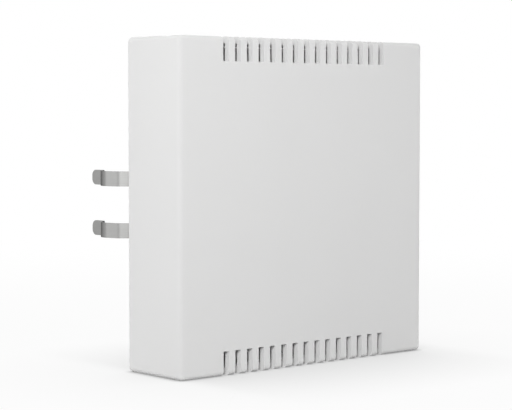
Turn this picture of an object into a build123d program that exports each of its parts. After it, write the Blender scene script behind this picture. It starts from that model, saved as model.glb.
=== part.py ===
import os
from math import cos, radians, sin

from build123d import *

os.makedirs("parts", exist_ok=True)

# Frame, in mm: origin at the centre of the back face, +X right seen from the front, +Y into the wall, +Z up

# Driving dimensions of the housing
side = 84.0
depth = 21.5
wall = 1.6
edge_r = 1.2
inner_r = 0.5
front_y = -depth
half = side / 2
inner_half = half - wall
inner_front_y = front_y + wall

# Vents: the pitch follows from the blank ends of the row
vent_count = 15
vent_w = 1.82
vent_run = 6.1
vent_left = 13.6
vent_right = 14.86
vent_pitch = (side - vent_left - vent_right - vent_w) / (vent_count - 1)

# Back plate
plate_gap = 0.2
plate_t = 2.0
plate_half = inner_half - plate_gap
plate_front_y = -plate_t
plate_corner_r = 1.0
rim_inset = 4.2
rim_half = plate_half - rim_inset
rim_t = 1.2
rim_h = 1.6
sink = 0.2

# Ribs in the hood that set how deep the back plate sits
stop_inset = 3.4
stop_at = inner_half - stop_inset
stop_t = 1.2
stop_h = 1.8

# Spring strips, each a base with two bowed fingers
strip_t = 0.4
strip_inset = 2.35
strip_face_x = -half + strip_inset
strip_mid_x = strip_face_x + strip_t / 2
strip_back_x = strip_face_x + strip_t
finger_w = 3.81
finger_z = 6.55
finger_gap = 0.3
tab_end_y = 18.2
tab_corner_r = 1.5
bow_out = 3.95
bow_start_y = 0.24
ramp_out = 50.0
crown_slope = 16.0
crown_run = 3.0
ramp_in = 47.0
bend_r = 0.9
shoulder_r = 1.7
crown_r = 2.0
bow_r = 6.0
foot_r = 0.9
strip_margin = 1.75
strip_base_half_z = finger_z + finger_w / 2 + strip_margin
strip_base_lift = 1.0
strip_base_run = 10.0
strip_base_y1 = plate_front_y - strip_base_lift
strip_base_y0 = strip_base_y1 - strip_base_run

# Walls that carry the strips, and the rivets
spring_wall_t = 1.8
spring_wall_margin = 1.3
spring_wall_half_z = strip_base_half_z + spring_wall_margin
spring_wall_y = strip_base_y0 - spring_wall_margin
gusset_t = 1.2
gusset_run = 3.2
rivet_r = 1.0
rivet_head_r = 1.8
rivet_head_h = 0.5
rivet_y = strip_base_y1 - strip_base_run / 2

# Sensing element, held just above the bottom wall
lead_r = 0.25
lead_dx = 1.27
lead_bend_r = 1.0
lead_out = 1.0
lead_drop = 3.2
lead_reach = 3.9
element_w = 4.0
element_t = 1.4
element_h = 5.0
element_clear = 0.8
element_corner_r = 0.4
element_top_z = -inner_half + element_clear + element_h
lead_z = element_top_z + lead_drop

# Circuit board, its posts and its screws: the terminal block sets how far the board is from the front
term_h = 10.0
term_clear = 1.3
term_front_y = inner_front_y + term_clear
board_w = 50.0
board_h = 26.0
board_t = 1.6
board_edge = 1.6
board_low_z = lead_z - board_edge
board_top_z = board_low_z + board_h
board_front_y = term_front_y + term_h
board_back_y = board_front_y + board_t
post_inset = 3.5
post_r = 2.6
fin_run = 1.4
fin_t = 0.8
fin_share = 0.6
fin_y = plate_front_y + fin_share * (board_back_y - plate_front_y)
screw_r = 1.0
screw_floor = 0.6
screw_tip_y = plate_front_y - screw_floor
screw_head_r = 2.1
screw_head_h = 1.5
screw_bevel = 0.7
cross_w = 0.5
cross_run = 1.1
cross_d = 0.8
board_hole_r = 1.3

# Terminal block
pole_pitch = 5.08
term_dz = 8.4
term_inset = 6.0
term_z = board_top_z - term_inset
term_floor = 1.0
term_bevel_z = 1.8
term_bevel_y = 2.2
term_well_r = 1.85
mouth_w = 3.0
passage_w = 2.7
passage_h = 2.6
cage_w = 3.9
cage_l = 5.0
cage_dz = 4.6
cage_base = 0.7
cage_floor_y = board_front_y - term_floor
cage_top_y = cage_floor_y - cage_l
clamp_r = 1.25
clamp_head_r = 1.7
clamp_head_h = 1.4
clamp_sunk = 1.0
clamp_in = 0.5
pin_w = 0.9
pin_out = 1.2

# Cable opening and wall-screw slots
cable_drop = 24.0
cable_z = half - cable_drop
cable_hole_r = 6.0
cable_seat_r = 8.2
cable_seat_d = 1.0
flange_gap = 0.1
flange_r = cable_seat_r - flange_gap
flange_t = 1.2
grommet_bore_r = 3.25
grommet_inset = 0.1
nose_run = 2.8
nose_t = 1.0
nose_step = 0.6
fixing_pitch = 60.0
fixing_r = 2.1
fixing_len = 8.4
fixing_pad = 2.3
fixing_pad_h = 0.8

# Snap joint between hood and back plate
arm_inset = 19.0
arm_z = half - arm_inset
arm_w = 8.0
arm_t = 1.3
arm_slack = 0.2
hook_out = 0.7
hook_gap = 0.1
hook_run = 1.1
tip_run = 1.8
catch_in = 6.0
catch_y0 = plate_front_y - catch_in
catch_run = 1.5
catch_bevel = 0.7
catch_h = 0.9
catch_over = 1.0
catch_w = arm_w + catch_over


def block(x0, x1, y0, y1, z0, z1):
    """A box between two values on each axis."""
    return Pos((x0 + x1) / 2, (y0 + y1) / 2, (z0 + z1) / 2) * Box(x1 - x0, y1 - y0, z1 - z0)


def rod_y(r, x, z, y0, y1):
    """A round bar along Y."""
    return Pos(x, (y0 + y1) / 2, z) * Rot(X=90) * Cylinder(r, y1 - y0)


def rod_x(r, y, z, x0, x1):
    """A round bar along X."""
    return Pos((x0 + x1) / 2, y, z) * Rot(Y=90) * Cylinder(r, x1 - x0)


def slot_y(r, length, x, z, y0, y1):
    """A bar along Y with a slot-shaped section that runs along X."""
    return Pos(x, y1, z) * Rot(X=90) * extrude(SlotOverall(length, 2 * r), y1 - y0)


def save(node, shape):
    export_step(shape, f"parts/{node}.step")


# Hood
shell = fillet(block(-half, half, front_y, 0, -half, half).edges(), edge_r)
room = block(-inner_half, inner_half, inner_front_y, 1, -inner_half, inner_half)
room = fillet(room.edges().filter_by(Axis.Y), inner_r)
hood = shell - room

# Stop ribs, two on each wall
for turn in range(4):
    for at in (-stop_at, stop_at):
        rib = block(
            -stop_t / 2, stop_t / 2, inner_front_y - sink, plate_front_y, inner_half - stop_h, inner_half + sink
        )
        hood += Rot(Y=90 * turn) * Pos(at, 0, 0) * rib

# Catch ledges on the side walls, bevelled on the side the arms come in from
outline = Polyline(
    (inner_half + sink, catch_y0),
    (inner_half - catch_h, catch_y0),
    (inner_half - catch_h, catch_y0 + catch_run - catch_bevel),
    (inner_half + sink, catch_y0 + catch_run),
    close=True,
)
ledge = extrude(make_face(outline), catch_w / 2, both=True)
for z in (-arm_z, arm_z):
    hood += Pos(0, 0, z) * ledge
    hood += Pos(0, 0, z) * mirror(ledge, Plane.YZ)

# Vent slots through the front wall and the top or bottom wall
vent = block(0, vent_w, front_y - 1, front_y + vent_run, half - vent_run, half + 1)
for i in range(vent_count):
    cut = Pos(vent_left - half + i * vent_pitch, 0, 0) * vent
    hood = hood - cut - mirror(cut, Plane.XY)
save("front_cover", hood)

# Back plate with its stiffening rim
plate = block(-plate_half, plate_half, plate_front_y, 0, -plate_half, plate_half)
plate = fillet(plate.edges().filter_by(Axis.Y), plate_corner_r)
rim_in = rim_half - rim_t
rim = block(-rim_half, rim_half, plate_front_y - rim_h, plate_front_y, -rim_half, rim_half)
plate += rim - block(-rim_in, rim_in, plate_front_y - rim_h, plate_front_y, -rim_in, rim_in)

# Walls that carry the spring strips, with gussets, and the notches that let the fingers out
wall_in_x = strip_back_x + spring_wall_t
stand = block(strip_back_x, wall_in_x, spring_wall_y, plate_front_y, -spring_wall_half_z, spring_wall_half_z)
outline = Polyline(
    (wall_in_x, plate_front_y), (wall_in_x + gusset_run, plate_front_y), (wall_in_x, strip_base_y0), close=True
)
gusset = extrude(make_face(outline), gusset_t / 2, both=True)
for z in (gusset_t / 2 - spring_wall_half_z, 0, spring_wall_half_z - gusset_t / 2):
    stand += Pos(0, 0, z) * gusset
notch_half = finger_w / 2 + finger_gap
for z in (-finger_z, finger_z):
    stand -= rod_x(rivet_r, rivet_y, z, strip_back_x, wall_in_x)
    notch = block(-plate_half, strip_back_x, plate_front_y, 0, z - notch_half, z + notch_half)
    plate = plate - notch - mirror(notch, Plane.YZ)
plate = plate + stand + mirror(stand, Plane.YZ)

# Snap arms that hook over the hood's ledges
arm_out = inner_half - catch_h - arm_slack
hook_y = catch_y0 - hook_gap
arm_tip_y = hook_y - hook_run - tip_run
outline = Polyline(
    (arm_out - arm_t, plate_front_y),
    (arm_out - arm_t, arm_tip_y),
    (arm_out - arm_slack, arm_tip_y),
    (arm_out + hook_out, hook_y - hook_run),
    (arm_out + hook_out, hook_y),
    (arm_out, hook_y),
    (arm_out, plate_front_y),
    close=True,
)
arm = extrude(make_face(outline), arm_w / 2, both=True)
for z in (-arm_z, arm_z):
    plate += Pos(0, 0, z) * arm
    plate += Pos(0, 0, z) * mirror(arm, Plane.YZ)

# Four board posts with fins, two of them with pilot holes
post = rod_y(post_r, 0, 0, board_back_y, plate_front_y)
post += block(-post_r - fin_run, post_r + fin_run, fin_y, plate_front_y, -fin_t / 2, fin_t / 2)
post_x = board_w / 2 - post_inset
post_z = (board_low_z + post_inset, board_top_z - post_inset)
for z in post_z:
    plate = plate + Pos(-post_x, 0, z) * post + Pos(post_x, 0, z) * post
screws = ((-post_x, post_z[0]), (post_x, post_z[1]))
for x, z in screws:
    plate -= rod_y(screw_r, x, z, board_back_y, screw_tip_y)

# Wall-screw slots with raised pads
pad_y = plate_front_y - fixing_pad_h
for x in (-fixing_pitch / 2, fixing_pitch / 2):
    plate += slot_y(fixing_r + fixing_pad, fixing_len + 2 * fixing_pad, x, 0, pad_y, plate_front_y)
    plate -= slot_y(fixing_r, fixing_len, x, 0, pad_y, 0)

# Cable opening with a seat for the grommet's rear flange
plate -= rod_y(cable_hole_r, 0, cable_z, plate_front_y, 0)
plate -= rod_y(cable_seat_r, 0, cable_z, -cable_seat_d, 0)
save("back_plate", plate)

# Cable grommet: a neck between two flanges, and a nose that narrows towards the front
flange_y = plate_front_y - flange_t
half_section = Polyline(
    (grommet_bore_r, flange_y - nose_run),
    (grommet_bore_r + nose_t, flange_y - nose_run),
    (cable_hole_r - nose_step, flange_y),
    (flange_r, flange_y),
    (flange_r, plate_front_y),
    (cable_hole_r, plate_front_y),
    (cable_hole_r, -cable_seat_d),
    (flange_r, -cable_seat_d),
    (flange_r, -grommet_inset),
    (grommet_bore_r, -grommet_inset),
    close=True,
)
save("cable_grommet", Pos(0, 0, cable_z) * revolve(make_face(half_section), Axis.Y))

# Centre line of a finger: bent outwards, up to its shoulder, on at a low slope to its crown, back in a wide bow
# to the plane of the base, then a straight tab
out_fall = 1 - cos(radians(ramp_out))
slope_fall = 1 - cos(radians(crown_slope))
in_fall = 1 - cos(radians(ramp_in))
crown_rise = crown_run * sin(radians(crown_slope)) + crown_r * slope_fall
out_rise = bow_out - crown_rise - bend_r * out_fall - shoulder_r * (out_fall - slope_fall)
out_run = out_rise / sin(radians(ramp_out))
in_run = (bow_out - (bow_r + foot_r) * in_fall) / sin(radians(ramp_in))
root = Line((strip_mid_x, rivet_y), (strip_mid_x, bow_start_y))
bend = JernArc(root @ 1, root % 1, bend_r, ramp_out)
ramp_a = PolarLine(bend @ 1, out_run, direction=bend % 1)
shoulder = JernArc(ramp_a @ 1, ramp_a % 1, shoulder_r, crown_slope - ramp_out)
slope = PolarLine(shoulder @ 1, crown_run, direction=shoulder % 1)
crown = JernArc(slope @ 1, slope % 1, crown_r, -crown_slope)
bow = JernArc(crown @ 1, crown % 1, bow_r, -ramp_in)
ramp_b = PolarLine(bow @ 1, in_run, direction=bow % 1)
foot = JernArc(ramp_b @ 1, ramp_b % 1, foot_r, ramp_in)
tab = Line(foot @ 1, (strip_mid_x, tab_end_y))
path = Wire([line.edge() for line in (root, bend, ramp_a, shoulder, slope, crown, bow, ramp_b, foot, tab)])

# Spring strips: one stamped base with its two fingers on each side
section = Plane(origin=path @ 0, x_dir=(1, 0, 0), z_dir=(0, 1, 0)) * Rectangle(strip_t, finger_w)
blank = block(-half - bow_out, strip_back_x, strip_base_y1 - sink, tab_end_y, -finger_w / 2, finger_w / 2)
blank = fillet(blank.edges().filter_by(Axis.X).sort_by(Axis.Y)[-2:], tab_corner_r)
finger = sweep(section, path) & blank
strip = block(strip_face_x, strip_back_x, strip_base_y0, strip_base_y1, -strip_base_half_z, strip_base_half_z)
for z in (-finger_z, finger_z):
    strip += Pos(0, 0, z) * finger
    strip -= rod_x(rivet_r, rivet_y, z, strip_face_x, strip_back_x)
save("spring_clip_left", strip)
save("spring_clip_right", mirror(strip, Plane.YZ))

# Rivets through the strips and the spring walls
half_section = Polyline(
    (strip_face_x - rivet_head_h, 0),
    (strip_face_x - rivet_head_h, rivet_head_r),
    (strip_face_x, rivet_head_r),
    (strip_face_x, rivet_r),
    (wall_in_x, rivet_r),
    (wall_in_x, rivet_head_r),
    (wall_in_x + rivet_head_h, rivet_head_r),
    (wall_in_x + rivet_head_h, 0),
    close=True,
)
rivet = Pos(0, rivet_y, 0) * revolve(make_face(half_section), Axis.X)
for level, z in (("lower", -finger_z), ("upper", finger_z)):
    save(f"clip_rivet_left_{level}", Pos(0, 0, z) * rivet)
    save(f"clip_rivet_right_{level}", mirror(Pos(0, 0, z) * rivet, Plane.YZ))

# Circuit board with holes for its screws, the terminal pins and the leads
board = block(-board_w / 2, board_w / 2, board_front_y, board_back_y, board_low_z, board_top_z)
poles = (-pole_pitch / 2, pole_pitch / 2)
for x, z in screws:
    board -= rod_y(board_hole_r, x, z, board_front_y, board_back_y)
for x in poles:
    board -= block(x - pin_w / 2, x + pin_w / 2, board_front_y, board_back_y, term_z - pin_w / 2, term_z + pin_w / 2)
lead_section = Plane.XZ * RegularPolygon(lead_r, 8)
for x in (-lead_dx, lead_dx):
    board -= Pos(x, board_back_y, lead_z) * extrude(lead_section, board_t)
save("circuit_board", board)

# Board screws: bevelled head with a cross recess
head_y = board_front_y - screw_head_h
half_section = Polyline(
    (0, head_y),
    (screw_head_r - screw_bevel, head_y),
    (screw_head_r, head_y + screw_bevel),
    (screw_head_r, board_front_y),
    (screw_r, board_front_y),
    (screw_r, screw_tip_y),
    (0, screw_tip_y),
    close=True,
)
screw = revolve(make_face(half_section), Axis.Y)
for turn in (0, 90):
    screw -= Rot(Y=turn) * block(-cross_run, cross_run, head_y, head_y + cross_d, -cross_w / 2, cross_w / 2)
for number, (x, z) in enumerate(screws, 1):
    save(f"board_screw_{number}", Pos(x, 0, z) * screw)

# Terminal block body: a stepped prism with two screw wells, two wire mouths and a room for each cage
term_half_z = term_dz / 2
outline = Polyline(
    (board_front_y, term_z - term_half_z),
    (term_front_y, term_z - term_half_z),
    (term_front_y, term_z + term_half_z - term_bevel_z),
    (term_front_y + term_bevel_y, term_z + term_half_z),
    (board_front_y, term_z + term_half_z),
    close=True,
)
term = extrude(Plane.YZ * make_face(outline), pole_pitch, both=True)
passage_y1 = cage_floor_y - cage_base
passage_y0 = passage_y1 - passage_h
cage_room = block(-cage_w / 2, cage_w / 2, cage_top_y, cage_floor_y, term_z - cage_dz / 2, term_z + cage_dz / 2)
for x in poles:
    term -= Pos(x, 0, 0) * cage_room
    term -= rod_y(term_well_r, x, term_z, term_front_y, cage_top_y)
    term -= block(x - mouth_w / 2, x + mouth_w / 2, passage_y0, passage_y1, term_z, term_z + term_half_z)
    term -= block(x - pin_w / 2, x + pin_w / 2, cage_floor_y, board_front_y, term_z - pin_w / 2, term_z + pin_w / 2)
save("terminal_body", term)

# Clamp cages, clamp screws and solder pins, one of each for a pole
clamp_y0 = term_front_y + clamp_sunk
clamp_y1 = clamp_y0 + clamp_head_h
for number, x in enumerate(poles, 1):
    cage = Pos(x, 0, 0) * cage_room
    cage -= block(
        x - passage_w / 2, x + passage_w / 2, passage_y0, passage_y1, term_z - cage_dz / 2, term_z + cage_dz / 2
    )
    cage -= rod_y(clamp_r, x, term_z, cage_top_y, passage_y0)
    save(f"terminal_cage_{number}", cage)
    clamp = rod_y(clamp_head_r, x, term_z, clamp_y0, clamp_y1)
    clamp += rod_y(clamp_r, x, term_z, clamp_y1, passage_y0 + clamp_in)
    clamp -= block(
        x - clamp_head_r, x + clamp_head_r, clamp_y0, clamp_y0 + cross_d, term_z - cross_w / 2, term_z + cross_w / 2
    )
    save(f"terminal_screw_{number}", clamp)
    pin_y = board_back_y + pin_out
    pin = block(x - pin_w / 2, x + pin_w / 2, cage_floor_y, pin_y, term_z - pin_w / 2, term_z + pin_w / 2)
    save(f"terminal_pin_{number}", pin)

# Sensing element and the two leads that hold it below the board
element_y = board_front_y - lead_reach
element_low_z = element_top_z - element_h
half_t = element_t / 2
element = block(-element_w / 2, element_w / 2, element_y - half_t, element_y + half_t, element_low_z, element_top_z)
save("sensing_element", fillet(element.edges().filter_by(Axis.Z), element_corner_r))
lead_y = board_back_y + lead_out
line = FilletPolyline((0, lead_y, lead_z), (0, element_y, lead_z), (0, element_y, element_top_z), radius=lead_bend_r)
lead = sweep(Pos(0, lead_y, lead_z) * lead_section, line)
for number, x in enumerate((-lead_dx, lead_dx), 1):
    save(f"sensing_lead_{number}", Pos(x, 0, 0) * lead)
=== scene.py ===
from math import cos, pi, radians, sin

import bmesh
import bpy
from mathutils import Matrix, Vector


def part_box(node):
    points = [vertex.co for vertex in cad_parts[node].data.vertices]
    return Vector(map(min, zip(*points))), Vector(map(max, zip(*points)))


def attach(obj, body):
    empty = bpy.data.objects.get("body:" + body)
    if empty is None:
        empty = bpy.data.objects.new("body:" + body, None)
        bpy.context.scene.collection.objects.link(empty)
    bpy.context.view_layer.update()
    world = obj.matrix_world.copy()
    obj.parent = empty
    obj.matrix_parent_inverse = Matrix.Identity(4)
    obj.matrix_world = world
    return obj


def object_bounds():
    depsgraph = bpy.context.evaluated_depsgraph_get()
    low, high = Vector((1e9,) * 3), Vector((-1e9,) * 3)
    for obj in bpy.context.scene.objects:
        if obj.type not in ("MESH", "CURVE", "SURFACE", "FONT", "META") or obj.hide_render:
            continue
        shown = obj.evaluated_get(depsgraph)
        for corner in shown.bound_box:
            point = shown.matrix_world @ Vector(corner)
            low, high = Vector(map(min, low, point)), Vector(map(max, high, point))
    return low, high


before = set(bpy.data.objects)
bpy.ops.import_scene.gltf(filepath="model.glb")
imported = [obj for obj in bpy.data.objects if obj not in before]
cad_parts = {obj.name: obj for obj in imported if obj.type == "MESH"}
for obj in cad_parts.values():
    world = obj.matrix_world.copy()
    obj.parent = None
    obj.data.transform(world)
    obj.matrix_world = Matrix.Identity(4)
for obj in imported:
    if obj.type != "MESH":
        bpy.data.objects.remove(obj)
cad_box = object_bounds()

# Camera: it stands at the sensor's front left and looks slightly down on it.
# Its place and its lens follow from the housing's edges and vents in the picture.
image_w = 512
sensor_w = 36.0
focal_px = 1692.3
camera_turn = radians(40.856)
camera_fall = radians(3.224)
camera_place = (-0.29485, -0.34185, 0.02398)
nearest = 0.01
farthest = 20.0
ahead = Vector((sin(camera_turn) * cos(camera_fall), cos(camera_turn) * cos(camera_fall), -sin(camera_fall)))
camera = bpy.data.objects.new("camera", bpy.data.cameras.new("camera"))
camera.data.sensor_width = sensor_w
camera.data.lens = focal_px / image_w * sensor_w
camera.data.clip_start = nearest
camera.data.clip_end = farthest
camera.location = camera_place
camera.rotation_euler = ahead.to_track_quat("-Z", "Y").to_euler()
bpy.context.collection.objects.link(camera)
bpy.context.scene.camera = camera
bpy.context.scene.view_settings.view_transform = "Standard"

# Table: a white sheet that the sensor stands on. The lamps light it as they light the sensor.
# Seen directly it shows white, with a painted shadow round the housing and a painted dark line along its
# lower edge.
table_z = cad_box[0][2]
table_half = 6.0
table_white = 0.6
black = (0, 0, 0, 1)
white = (1, 1, 1, 1)
fade_near = 0.05
fade_far = 0.4
lit_share = 0.05
# How far the painted shadow and the painted dark line reach and how deep they are: deepest in front, lighter
# at the left and right ends.
contact_reach = 0.05
touch_reach = 0.0018
reach_samples = 16
touch_shade = 0.5
left_shade = 0.19
front_shade = 0.46
right_shade = 0.15
left_end = (-0.046, -0.036)
right_end = (0.042, 0.056)


class Value:
    """A number that changes over a surface. Maths on it adds Math nodes."""

    def __init__(self, tree, socket):
        self.tree = tree
        self.socket = socket

    def maths(self, operation, *terms):
        node = self.tree.nodes.new("ShaderNodeMath")
        node.operation = operation
        for term, entry in zip(terms, node.inputs):
            if isinstance(term, Value):
                self.tree.links.new(term.socket, entry)
            else:
                entry.default_value = term
        return Value(self.tree, node.outputs[0])

    def __add__(self, other):
        return self.maths("ADD", self, other)

    def __sub__(self, other):
        return self.maths("SUBTRACT", self, other)

    def __rsub__(self, other):
        return self.maths("SUBTRACT", other, self)

    def __mul__(self, other):
        return self.maths("MULTIPLY", self, other)

    def __pow__(self, other):
        return self.maths("POWER", self, other)

    def __abs__(self):
        return self.maths("ABSOLUTE", self)

    def larger(self, other):
        return self.maths("MAXIMUM", self, other)

    def sine(self):
        return self.maths("SINE", self)

    __radd__ = __add__
    __rmul__ = __mul__


class Finish:
    """The nodes of a material or of the room. node() adds one node: its settings first, then its inputs."""

    # A Mix node has sockets for numbers, vectors and colours. These are the ones for colours.
    first_colour = 6
    second_colour = 7
    mixed_colour = 2

    def __init__(self, owner):
        owner.use_nodes = True
        self.owner = owner
        self.tree = owner.node_tree
        self.tree.nodes.clear()

    def node(self, kind, inputs, out=0, **settings):
        node = self.tree.nodes.new("ShaderNode" + kind)
        for name, value in settings.items():
            setattr(node, name, value)
        for name, value in inputs.items():
            if isinstance(value, Value):
                self.tree.links.new(value.socket, node.inputs[name])
            else:
                node.inputs[name].default_value = value
        return Value(self.tree, node.outputs[out]) if node.outputs else node

    def point(self, **mapping):
        """The place on the piece, stretched or moved as the Mapping node's inputs say."""
        place = self.node("TexCoord", {}, out="Object")
        return self.node("Mapping", {"Vector": place, **mapping}) if mapping else place

    def axis(self, index):
        """One coordinate of the place on the piece."""
        return self.node("SeparateXYZ", {"Vector": self.point()}, out=index)

    def facing(self, index):
        """How far the surface faces along one axis, from -1 to 1."""
        return self.node("SeparateXYZ", {"Vector": self.node("TexCoord", {}, out="Normal")}, out=index)

    def step(self, value, low, high):
        """0 below low, 1 above high and smooth between them."""
        inputs = {"Value": value, "From Min": low, "From Max": high}
        return self.node("MapRange", inputs, interpolation_type="SMOOTHSTEP")

    def noise(self, scale, detail=2.0, **mapping):
        """Uneven patches, finer as the scale grows."""
        return self.node("TexNoise", {"Vector": self.point(**mapping), "Scale": scale, "Detail": detail})

    def blend(self, share, low, high):
        """The colour low where share is 0, the colour high where it is 1, and a mix between them."""
        inputs = {"Factor": share, self.first_colour: low, self.second_colour: high}
        return self.node("Mix", inputs, out=self.mixed_colour, data_type="RGBA")

    def direct(self):
        """1 on a ray that the camera, a mirror or a clear piece sends out, and 0 on a ray of light."""
        kinds = ("Is Camera Ray", "Is Glossy Ray", "Is Transmission Ray")
        seen, mirrored, through = (self.node("LightPath", {}, out=kind) for kind in kinds)
        return seen.larger(mirrored.larger(through))

    def principled(self, inputs):
        """Ends the material with one Principled shader and gives the material back."""
        self.node("OutputMaterial", {"Surface": self.node("BsdfPrincipled", inputs)})
        return self.owner


sheet = bmesh.new()
bmesh.ops.create_grid(sheet, x_segments=1, y_segments=1, size=table_half)
bmesh.ops.translate(sheet, verts=sheet.verts, vec=(0, 0, table_z))
table = bpy.data.objects.new("table", bpy.data.meshes.new("table"))
sheet.to_mesh(table.data)
sheet.free()
bpy.context.collection.objects.link(table)
paper = Finish(bpy.data.materials.new("table_paper"))
away = paper.node("VectorMath", {0: paper.point()}, out="Value", operation="LENGTH")
white_share = 1 - lit_share * (1 - paper.step(away, fade_near, fade_far))
open_share = paper.node("AmbientOcclusion", {"Distance": contact_reach}, out="AO", samples=reach_samples)
# A short ambient occlusion paints the dark line where the housing meets the table: painted shade.
under_edge = 1 - paper.node("AmbientOcclusion", {"Distance": touch_reach}, out="AO", samples=reach_samples)
past_left = paper.step(paper.axis(0), *left_end)
past_right = paper.step(paper.axis(0), *right_end)
# Painted shadow: ambient occlusion near the housing darkens the table as it is seen, deepest in front and
# lighter past the left and right ends.
shade = left_shade + (front_shade - left_shade) * past_left - (front_shade - right_shade) * past_right
painted_shadow_level = (1 - shade * (1 - open_share)) * (1 - touch_shade * under_edge)
lit = paper.node("BsdfDiffuse", {"Color": (table_white, table_white, table_white, 1)})
glow_with_painted_shadow = paper.node("Emission", {"Color": paper.blend(painted_shadow_level, black, white)})
mixed = paper.node("MixShader", {0: paper.direct() * white_share, 1: lit, 2: glow_with_painted_shadow})
paper.node("OutputMaterial", {"Surface": mixed})
table.data.materials.append(paper.owner)

# Room: even white all round, at full strength where it is seen or mirrored.
# The strongest light in the picture is from a small lamp close to the near corner, with a weaker one
# behind it. Wide lamps at the left, the front, the right and the right rear light the sides.
room_light = 0.05
room = bpy.data.worlds.new("room")
bpy.context.scene.world = room
air = Finish(room)
even = air.node("Background", {"Color": white, "Strength": room_light + (1 - room_light) * air.direct()})
air.node("OutputWorld", {"Surface": even})


def add_lamp(name, place, size, watts):
    """A round soft lamp that points at the sensor."""
    light = bpy.data.lights.new(name, "AREA")
    light.shape = "DISK"
    light.size = size
    light.energy = watts
    lamp = bpy.data.objects.new(name, light)
    lamp.location = place
    lamp.rotation_euler = (-Vector(place)).to_track_quat("-Z", "Y").to_euler()
    bpy.context.collection.objects.link(lamp)


add_lamp("near_lamp", place=(-0.34, -0.34, 0.22), size=0.2, watts=1.53)
add_lamp("distant_lamp", place=(-0.62, -0.60, 0.22), size=0.3, watts=0.57)
add_lamp("left_lamp", place=(-0.70, 0.30, 0.22), size=0.5, watts=1.13)
add_lamp("front_lamp", place=(-0.10, -0.90, 0.30), size=0.5, watts=0.93)
add_lamp("right_lamp", place=(0.50, -0.75, 0.30), size=0.5, watts=0.51)
add_lamp("rear_lamp", place=(0.60, 0.60, 0.18), size=0.5, watts=7.5)

# Back plate: one moulding of white ABS that snaps into the hood and lies on the wall.
# Round marks of the mould's ejector pins are left inside, and the gate's mark is left outside.
mm = 0.001
abs_white = (0.785, 0.785, 0.783, 1)
abs_cloud = (0.8, 0.8, 0.798, 1)
plate_roughness = 0.44
grain_scale = 2600.0
grain_height = 0.02 * mm
grain_roughness = 0.12
cloud_scale = 38.0
scatter = 0.8
mark_depth = 0.06 * mm
mark_slope = 0.2 * mm
ejector_at = 33.0 * mm
ejector_r = 2.0 * mm
gate_r = 1.5 * mm
gate_stub_r = 0.3 * mm
inner_y = -2.2 * mm
outer_y = -1.0 * mm


def mould_finish(name, low, high, roughness, marks=None):
    """Moulded plastic: faint clouds in the colour and a fine even grain. marks adds to the grain's height."""
    skin = Finish(bpy.data.materials.new(name))
    grain = skin.noise(grain_scale, detail=3.0)
    cloud = skin.noise(cloud_scale)
    normal = skin.node("Bump", {"Height": grain, "Distance": grain_height, "Strength": 0.25})
    if marks:
        normal = skin.node("Bump", {"Height": marks(skin), "Distance": mark_depth, "Normal": normal})
    return skin.principled({
        "Base Color": skin.blend(cloud, low, high),
        "Diffuse Roughness": scatter,
        "Roughness": roughness + grain_roughness * grain,
        "Normal": normal,
    })


def dress(material, *nodes):
    """Gives CAD nodes one material all over."""
    for node in nodes:
        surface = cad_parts[node].data
        surface.materials.clear()
        surface.materials.append(material)


def distance(u, v):
    """How far a place lies from the middle, from its two offsets."""
    return (u**2 + v**2) ** 0.5


def plate_marks(skin):
    x, y, z = (skin.axis(index) for index in range(3))
    outside = skin.step(y, inner_y, outer_y)
    ring = distance(abs(x) - ejector_at, abs(z) - ejector_at)
    ejectors = 1 - skin.step(ring, ejector_r - mark_slope / 2, ejector_r)
    middle = distance(x, z)
    stub = 1 - skin.step(middle, gate_stub_r, gate_stub_r + mark_slope)
    gate = (1 - stub) * (1 - skin.step(middle, gate_r - mark_slope, gate_r))
    return 0 - gate * outside - ejectors * (1 - outside)


dress(mould_finish("plate_abs", abs_white, abs_cloud, plate_roughness, plate_marks), "back_plate")

# Cable grommet: moulded EPDM rubber, pressed into the round opening of the back plate.
# Its flanges hold it by their spring, and the wall cable passes through its bore.
rubber_dark = (0.022, 0.022, 0.023, 1)
rubber_light = (0.036, 0.036, 0.037, 1)
rubber_roughness = 0.62
dress(mould_finish("grommet_rubber", rubber_dark, rubber_light, rubber_roughness), "cable_grommet")

# Spring strips: hard nickel-plated steel, stamped to shape and folded, one strip for each side.
# Rolling leaves fine streaks along the fingers, and shearing leaves a dull band on their edges.
strip_dark = (0.285, 0.285, 0.28, 1)
strip_light = (0.37, 0.37, 0.365, 1)
# The glancing tint is near black, so the folds seen edge-on show a painted dark reflection.
strip_painted_dark_glance = (0.02, 0.02, 0.02, 1)
sheared = (0.26, 0.26, 0.26, 1)
strip_roughness = 0.38
streak_scale = 3500.0
streak_height = 0.01 * mm
streak_roughness = 0.1
streak_share = 0.6
smear_scale = 160.0
sheared_roughness = 0.15
along_finger = (0.05, 0.05, 1.0)
sheared_facing = (0.7, 0.9)
rolled = Finish(bpy.data.materials.new("rolled_strip"))
streak = rolled.noise(streak_scale, detail=3.0, Scale=along_finger)
smear = rolled.noise(smear_scale, detail=3.0)
face = rolled.blend(streak_share * streak + (1 - streak_share) * smear, strip_dark, strip_light)
edge = rolled.step(abs(rolled.facing(2)), *sheared_facing)
rolled.principled({
    "Base Color": rolled.blend(edge, face, sheared),
    "Metallic": 1.0,
    "Specular Tint": strip_painted_dark_glance,
    "Roughness": strip_roughness + streak_roughness * streak + sheared_roughness * edge,
    "Normal": rolled.node("Bump", {"Height": streak, "Distance": streak_height, "Strength": 0.3}),
})
dress(rolled.owner, "spring_clip_left", "spring_clip_right")

# Clip rivets: solid aluminium, two through each strip and its wall, headed on both ends.
# The heading tool leaves fine rings on the heads.
alloy_dark = (0.56, 0.56, 0.57, 1)
alloy_light = (0.66, 0.66, 0.67, 1)
alloy_roughness = 0.3
alloy_pitch = 0.25 * mm
ring_height = 0.004 * mm
wear_scale = 900.0
wear_roughness = 0.2


def box_middle(node):
    """The middle of a CAD node's box."""
    low, high = (Vector(corner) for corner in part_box(node))
    return (low + high) / 2


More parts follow.
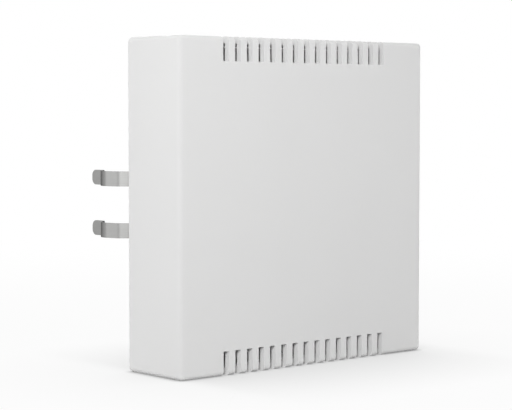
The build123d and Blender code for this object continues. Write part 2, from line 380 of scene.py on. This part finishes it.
def ringed_metal(name, dark, light, roughness, pitch, rings):
    """Bright metal with fine rings. rings gives the distance from the rings' middle."""
    metal = Finish(bpy.data.materials.new(name))
    wave = (rings(metal) * (2 * pi / pitch)).sine()
    wear = metal.noise(wear_scale, detail=3.0)
    return metal.principled({
        "Base Color": metal.blend(wear, dark, light),
        "Metallic": 1.0,
        "Roughness": roughness + wear_roughness * wear,
        "Normal": metal.node("Bump", {"Height": wave, "Distance": ring_height, "Strength": 0.5}),
    })


rivets = [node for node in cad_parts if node.startswith("clip_rivet")]
rivet_at = box_middle("clip_rivet_left_upper")


def rivet_rings(metal):
    return distance(metal.axis(1) - rivet_at.y, abs(metal.axis(2)) - rivet_at.z)


rivet_alloy = ringed_metal("rivet_alloy", alloy_dark, alloy_light, alloy_roughness, alloy_pitch, rivet_rings)
dress(rivet_alloy, *rivets)

# Circuit board: glass-cloth laminate under green solder mask, with one copper track for each pole.
# The tracks show paler through the mask, and the pads round the holes are tinned.
mask_green = (0.03, 0.2, 0.08, 1)
mask_track = (0.06, 0.29, 0.12, 1)
laminate = (0.42, 0.4, 0.2, 1)
tin = (0.6, 0.6, 0.58, 1)
mask_roughness = 0.3
cut_roughness = 0.3
weave_scale = 400.0
weave_bend = 1.5
weave_roughness = 0.05
weave_height = 0.15
copper_height = 0.035 * mm
copper_blur = 0.05 * mm
cut_facing = (0.4, 0.6)
pin_pad_r = 1.1 * mm
lead_pad_r = 0.85 * pin_pad_r
track_half = 0.6 * mm
pin_at = box_middle("terminal_pin_2")
lead_low, lead_high = (Vector(corner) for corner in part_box("sensing_lead_2"))
lead_x = (lead_low.x + lead_high.x) / 2
lead_r = (lead_high.x - lead_low.x) / 2
lead_z = lead_high.z - lead_r
track_rise = pin_at.z - lead_z
track_slope = (pin_at.x - lead_x) / track_rise
track_middle_z = (pin_at.z + lead_z) / 2
board = Finish(bpy.data.materials.new("board_laminate"))


def within(value, half):
    """1 where a value on the board lies less than half from nought."""
    return 1 - board.step(abs(value), half - copper_blur, half + copper_blur)


across = abs(board.axis(0))
height = board.axis(2)
from_line = across - lead_x - track_slope * (height - lead_z)
track = within(from_line, track_half) * within(height - track_middle_z, track_rise / 2)
pin_pad = within(distance(across - pin_at.x, height - pin_at.z), pin_pad_r)
lead_pad = within(distance(across - lead_x, height - lead_z), lead_pad_r)
pads = pin_pad.larger(lead_pad)
weave_inputs = {"Vector": board.point(), "Scale": weave_scale, "Distortion": weave_bend}
weave = board.node("TexWave", weave_inputs, out="Fac")
cut_edge = 1 - board.step(abs(board.facing(1)), *cut_facing)
masked = board.blend(track, mask_green, mask_track)
tinned_pads = board.blend(pads, masked, tin)
relief = track + pads + weave_height * weave
board.principled({
    "Base Color": board.blend(cut_edge, tinned_pads, laminate),
    "Metallic": pads * (1 - cut_edge),
    "Roughness": mask_roughness + cut_roughness * cut_edge + weave_roughness * weave,
    "Normal": board.node("Bump", {"Height": relief, "Distance": copper_height, "Strength": 0.6}),
})
dress(board.owner, "circuit_board")

# Solder joints: tin-silver solder, drawn up round each pin and lead on the wall side of the board.
# Each is a small hollow-sided cone that wets its pad. The pins and the leads are tinned the same.
solder_dark = (0.52, 0.52, 0.51, 1)
solder_light = (0.66, 0.66, 0.64, 1)
solder_roughness = 0.2
frost_scale = 1500.0
frost_height = 0.01 * mm
frost_roughness = 0.25
pin_foot_r = 1.0 * mm
pin_neck_r = 0.55 * mm
pin_rise = 0.9 * mm
lead_foot_r = 0.8 * mm
lead_neck_r = 0.28 * mm
lead_rise = 0.6 * mm
solder_steps = 32
solder_curve = 6
merge_gap = 0.001 * mm
board_back_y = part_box("circuit_board")[1][1]


def draw_joint(joints, x, z, foot_r, neck_r, rise):
    """A cone with a hollow side, spun round a pin or a lead."""
    last = None
    edges = []
    for number in range(solder_curve + 1):
        turn = number / solder_curve * pi / 2
        radius = foot_r - (foot_r - neck_r) * sin(turn)
        point = joints.verts.new((x + radius, board_back_y + rise * (1 - cos(turn)), z))
        if last:
            edges.append(joints.edges.new((last, point)))
        last = point
    top = joints.verts.new((x, last.co.y, z))
    edges.append(joints.edges.new((last, top)))
    bmesh.ops.spin(
        joints, geom=edges, cent=(x, 0, z), axis=(0, 1, 0), angle=2 * pi, steps=solder_steps, use_merge=True
    )


joints = bmesh.new()
for side in (-1, 1):
    draw_joint(joints, side * pin_at.x, pin_at.z, pin_foot_r, pin_neck_r, pin_rise)
    draw_joint(joints, side * lead_x, lead_z, lead_foot_r, lead_neck_r, lead_rise)
bmesh.ops.remove_doubles(joints, verts=joints.verts, dist=merge_gap)
bmesh.ops.recalc_face_normals(joints, faces=joints.faces)
for drop in joints.faces:
    drop.smooth = True
solder = bpy.data.objects.new("solder_joints", bpy.data.meshes.new("solder_joints"))
joints.to_mesh(solder.data)
joints.free()
bpy.context.collection.objects.link(solder)
tinned = Finish(bpy.data.materials.new("solder_tin"))
frost = tinned.noise(frost_scale, detail=4.0)
tinned.principled({
    "Base Color": tinned.blend(frost, solder_dark, solder_light),
    "Metallic": 1.0,
    "Roughness": solder_roughness + frost_roughness * frost,
    "Normal": tinned.node("Bump", {"Height": frost, "Distance": frost_height, "Strength": 0.4}),
})
solder.data.materials.append(tinned.owner)
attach(solder, "root")
dress(tinned.owner, "terminal_pin_1", "terminal_pin_2", "sensing_lead_1", "sensing_lead_2")

# Board screws: zinc-plated steel, driven through the board into two of the posts.
# The plating has a faint bluish cast and the heads show fine turned rings.
zinc_dark = (0.5, 0.51, 0.53, 1)
zinc_light = (0.62, 0.63, 0.65, 1)
zinc_roughness = 0.26
zinc_pitch = 0.2 * mm
left_screw_at = box_middle("board_screw_1")
right_screw_at = box_middle("board_screw_2")


def head_rings(metal):
    right = metal.step(metal.axis(0), -mm, mm)
    middle_z = left_screw_at.z + (right_screw_at.z - left_screw_at.z) * right
    return distance(abs(metal.axis(0)) - right_screw_at.x, metal.axis(2) - middle_z)


zinc = ringed_metal("zinc_steel", zinc_dark, zinc_light, zinc_roughness, zinc_pitch, head_rings)
dress(zinc, "board_screw_1", "board_screw_2")

# Screw terminal: a moulded polyamide body with a tinned brass cage and a zinc-plated screw for each pole.
# The screws pull the cages up and clamp the wires that come in through the mouths above.
polyamide_dark = (0.1, 0.27, 0.14, 1)
polyamide_light = (0.13, 0.32, 0.17, 1)
polyamide_roughness = 0.36
brass_dark = (0.56, 0.53, 0.44, 1)
brass_light = (0.68, 0.65, 0.57, 1)
brass_roughness = 0.28
brass_pitch = 0.8 * mm
clamp_roughness = 0.24
clamp_pitch = 0.18 * mm


def pole_rings(metal):
    return distance(abs(metal.axis(0)) - pin_at.x, metal.axis(2) - pin_at.z)


body = mould_finish("terminal_polyamide", polyamide_dark, polyamide_light, polyamide_roughness)
dress(body, "terminal_body")
cage = ringed_metal("cage_tinned_brass", brass_dark, brass_light, brass_roughness, brass_pitch, pole_rings)
dress(cage, "terminal_cage_1", "terminal_cage_2")
clamp = ringed_metal("clamp_zinc", zinc_dark, zinc_light, clamp_roughness, clamp_pitch, pole_rings)
dress(clamp, "terminal_screw_1", "terminal_screw_2")

# Sensing element: a small chip dipped in black resin, held by its two leads above the lower vents.
# The resin has run smooth, with slight lumps where it drained.
resin_dark = (0.012, 0.012, 0.013, 1)
resin_light = (0.03, 0.03, 0.03, 1)
resin_roughness = 0.18
lump_scale = 420.0
lump_height = 0.15 * mm
speck_scale = 3000.0
speck_roughness = 0.14
resin = Finish(bpy.data.materials.new("element_resin"))
lump = resin.noise(lump_scale)
speck = resin.noise(speck_scale, detail=4.0)
resin.principled({
    "Base Color": resin.blend(speck, resin_dark, resin_light),
    "Roughness": resin_roughness + speck_roughness * speck,
    "Normal": resin.node("Bump", {"Height": lump, "Distance": lump_height, "Strength": 0.5}),
})
dress(resin.owner, "sensing_element")

# Hood: one moulding of white ABS with a fine satin skin, open at the back.
# Fifteen vents are cut through two walls at its top front edge and fifteen at its bottom front edge.
hood_roughness = 0.68
dress(mould_finish("hood_abs", abs_white, abs_cloud, hood_roughness), "front_cover")
